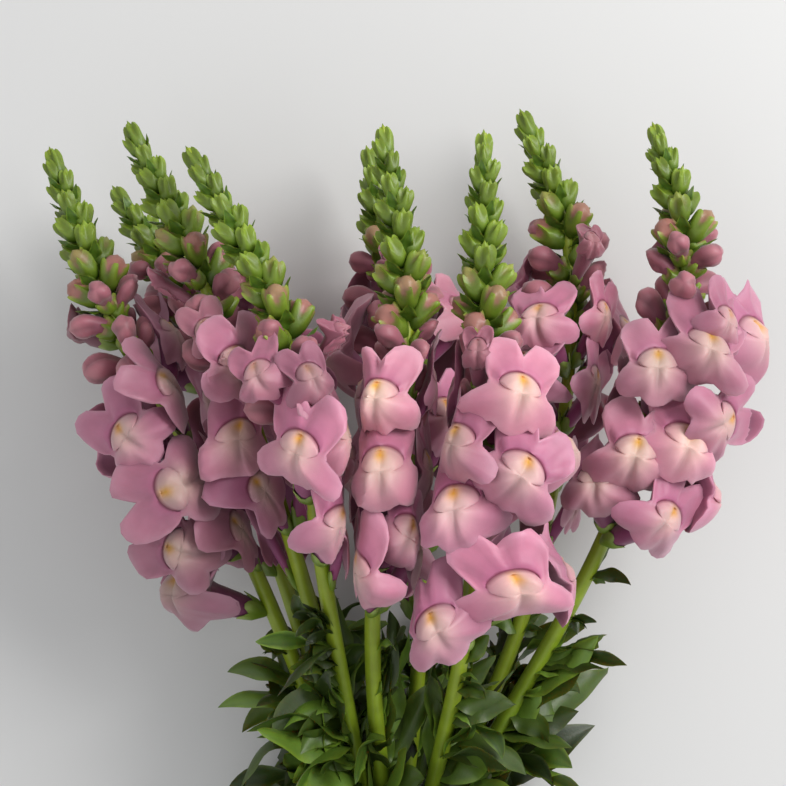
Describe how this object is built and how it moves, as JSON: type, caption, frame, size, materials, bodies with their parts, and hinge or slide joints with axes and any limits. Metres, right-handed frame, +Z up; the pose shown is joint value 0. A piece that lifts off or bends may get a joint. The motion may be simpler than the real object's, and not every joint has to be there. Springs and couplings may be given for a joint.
{
  "type": "snapdragon bunch",
  "caption": "Tied bunch of cut snapdragons with mauve-pink florets, green bud spikes and leafy stems, lying flat.",
  "frame": {"origin": "centre of the bunch's outline on the surface it lies on", "axes": "+Y along the bunch from the cut ends towards the flower tips, +Z up from the surface, +X to the right seen from above"},
  "size_m": [0.3076, 0.4798, 0.1478],
  "materials": {
    "petals": "soft satin",
    "greens": "satin",
    "tie": "matte"
  },
  "bodies": {
    "root": {"leafy_stem_1": "greens", "leafy_stem_2": "greens", "leafy_stem_3": "greens", "leafy_stem_4": "greens", "leafy_stem_5": "greens", "leafy_stem_6": "greens", "leafy_stem_7": "greens", "leafy_stem_8": "greens", "leafy_stem_9": "greens", "flower_head_1": "petals", "flower_head_2": "petals", "flower_head_3": "petals", "flower_head_4": "petals", "flower_head_5": "petals", "flower_head_6": "petals", "flower_head_7": "petals", "flower_head_8": "petals", "flower_head_9": "petals", "tie": "tie"}
  },
  "joints": []
}
